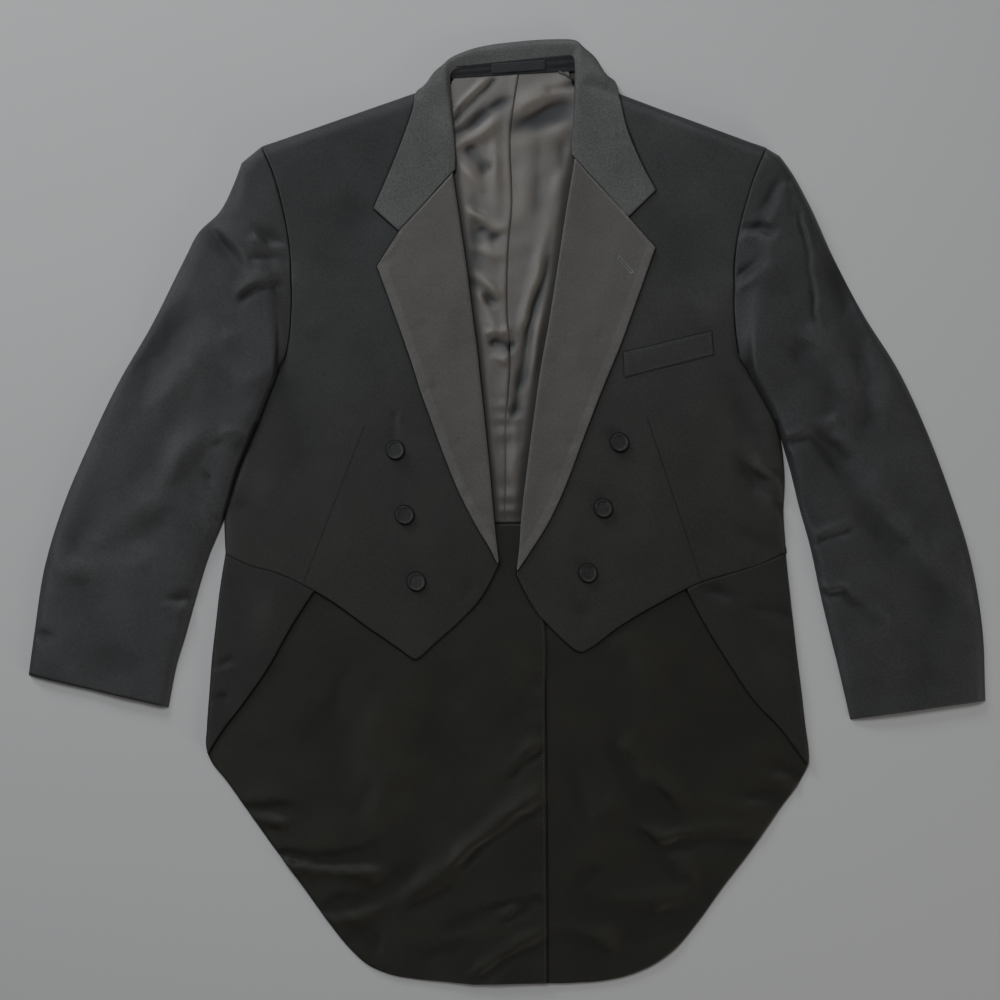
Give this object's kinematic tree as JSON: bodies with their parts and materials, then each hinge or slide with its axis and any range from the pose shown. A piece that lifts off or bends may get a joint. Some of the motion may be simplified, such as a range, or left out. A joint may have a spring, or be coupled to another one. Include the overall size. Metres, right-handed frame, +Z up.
{
  "type": "white tie tailcoat laid flat",
  "caption": "Men's black evening tailcoat lying open on its back, with satin notch lapels, pointed waist fronts, covered buttons, folded skirts, long rounded tails and a centre vent.",
  "frame": {"origin": "middle of the outline, on the surface that the coat lies on", "axes": "+Z up out of the surface, +Y towards the collar, +X towards the wearer's left sleeve"},
  "size_m": [1.006, 0.991, 0.0212],
  "materials": {
    "wool": "matte black worsted wool",
    "tail_lining": "matte black worsted, inner face of the tails",
    "satin": "charcoal-black satin",
    "lining": "grey-brown acetate lining, soft sheen",
    "button": "cloth-covered button",
    "label": "plain woven label, blank"
  },
  "bodies": {
    "root": {"back_right": "wool", "side_body_right": "wool", "skirt_right": "wool", "tail_lining_right": "tail_lining", "body_lining_right": "lining", "front_right": "wool", "top_sleeve_right": "wool", "under_sleeve_right": "wool", "lapel_right": "satin", "button_right_1": "button", "button_right_2": "button", "button_right_3": "button", "back_left": "wool", "side_body_left": "wool", "skirt_left": "wool", "tail_lining_left": "tail_lining", "body_lining_left": "lining", "front_left": "wool", "top_sleeve_left": "wool", "under_sleeve_left": "wool", "lapel_left": "satin", "button_left_1": "button", "button_left_2": "button", "button_left_3": "button", "upper_collar": "wool", "collar_stand": "wool", "neck_label": "label", "hanger_loop": "wool", "breast_welt": "wool"}
  },
  "joints": []
}
